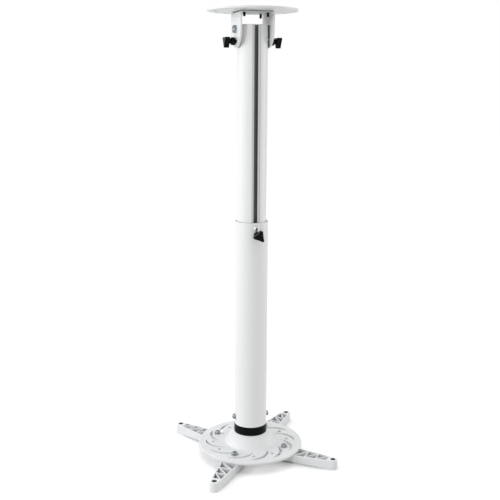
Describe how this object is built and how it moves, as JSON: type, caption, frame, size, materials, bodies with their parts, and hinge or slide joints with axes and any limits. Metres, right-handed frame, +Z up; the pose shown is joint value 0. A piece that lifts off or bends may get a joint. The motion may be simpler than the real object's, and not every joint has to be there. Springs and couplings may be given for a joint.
{
  "type": "telescopic ceiling mount for a projector",
  "caption": "White ceiling mount with a round plate, tilting telescopic column locked by hand knobs, and a ball-jointed disc whose swivelling arms carry a projector.",
  "frame": {"origin": "middle of the ceiling plate's upper face, on the column's axis", "axes": "+Z up, square to the ceiling face; X along the column's tilt axis; the column's track and height knob face -Y"},
  "size_m": [0.2, 0.2137, 0.6444],
  "materials": {
    "white_steel": "white powder coat on steel sheet",
    "white_aluminium": "white powder coat on drawn aluminium tube",
    "white_casting": "white paint on die cast aluminium",
    "bare_aluminium": "turned aluminium",
    "zinc_steel": "bright zinc plate",
    "black_steel": "black oxide",
    "black_plastic": "moulded black nylon"
  },
  "bodies": {
    "ceiling_mount": {"ceiling_plate": "white_steel", "yoke_bracket": "white_steel", "bracket_screws": "black_steel", "pivot_bolt": "zinc_steel", "pivot_nut": "zinc_steel"},
    "upper_column": {"upper_tube": "white_aluminium", "clamp_nuts": "zinc_steel", "glide_cap": "black_plastic"},
    "tilt_clamp_left": {"tilt_knob_left": "black_plastic", "tilt_stud_left": "zinc_steel"},
    "tilt_clamp_right": {"tilt_knob_right": "black_plastic", "tilt_stud_right": "zinc_steel"},
    "lower_column": {"lower_tube": "white_aluminium", "slide_bar": "zinc_steel", "guide_screw": "zinc_steel", "tube_plug": "bare_aluminium", "plug_screws": "zinc_steel", "seat_ring": "black_plastic"},
    "height_lock": {"height_knob": "black_plastic", "height_stud": "zinc_steel"},
    "head_bolt": {"swivel_bolt": "zinc_steel", "swivel_nut": "zinc_steel", "saddle_washer": "zinc_steel"},
    "head_cup": {"clamp_cup": "bare_aluminium"},
    "spider": {"spider_plate": "white_casting", "arm_washers": "zinc_steel", "arm_screws": "zinc_steel", "arm_nuts": "zinc_steel"},
    "front_left_arm": {"arm_front_left": "white_casting"},
    "front_right_arm": {"arm_front_right": "white_casting"},
    "rear_right_arm": {"arm_rear_right": "white_casting"},
    "rear_left_arm": {"arm_rear_left": "white_casting"}
  },
  "joints": [
    {"name": "column_tilt", "type": "hinge", "parent": "ceiling_mount", "child": "upper_column", "pos_m": [0, 0, -0.0265], "axis": [1, 0, 0], "range_deg": [-15, 15]},
    {"name": "tilt_knob_left_turn", "type": "hinge", "parent": "upper_column", "child": "tilt_clamp_left", "pos_m": [-0.026, 0, -0.0425], "axis": [-1, 0, 0], "range_deg": [0, 360]},
    {"name": "tilt_knob_right_turn", "type": "hinge", "parent": "upper_column", "child": "tilt_clamp_right", "pos_m": [0.026, 0, -0.0425], "axis": [1, 0, 0], "range_deg": [0, 360]},
    {"name": "column_slide", "type": "slide", "parent": "upper_column", "child": "lower_column", "axis": [0, 0, 1], "range_m": [0, 0.215]},
    {"name": "height_knob_turn", "type": "hinge", "parent": "lower_column", "child": "height_lock", "pos_m": [0, -0.026, -0.3066], "axis": [0, -1, 0], "range_deg": [0, 360]},
    {"name": "head_turn", "type": "hinge", "parent": "lower_column", "child": "head_bolt", "pos_m": [0, 0, -0.64172], "axis": [0, 0, 1], "continuous": true},
    {"name": "head_tilt", "type": "hinge", "parent": "head_bolt", "child": "head_cup", "pos_m": [0, 0, -0.64172], "axis": [1, 0, 0], "range_deg": [-15, 15]},
    {"name": "head_spin", "type": "hinge", "parent": "head_cup", "child": "spider", "pos_m": [0, 0, -0.64172], "axis": [0, 0, 1], "continuous": true},
    {"name": "front_left_arm_turn", "type": "hinge", "parent": "spider", "child": "front_left_arm", "pos_m": [-0.03572, -0.04182, -0.635], "axis": [0, 0, 1], "range_deg": [-64.2, 55.8]},
    {"name": "front_right_arm_turn", "type": "hinge", "parent": "spider", "child": "front_right_arm", "pos_m": [0.04182, -0.03572, -0.635], "axis": [0, 0, 1], "range_deg": [-60.4, 59.6]},
    {"name": "rear_right_arm_turn", "type": "hinge", "parent": "spider", "child": "rear_right_arm", "pos_m": [0.03572, 0.04182, -0.635], "axis": [0, 0, 1], "range_deg": [-56, 64]},
    {"name": "rear_left_arm_turn", "type": "hinge", "parent": "spider", "child": "rear_left_arm", "pos_m": [-0.04182, 0.03572, -0.635], "axis": [0, 0, 1], "range_deg": [-46.6, 73.4]}
  ]
}
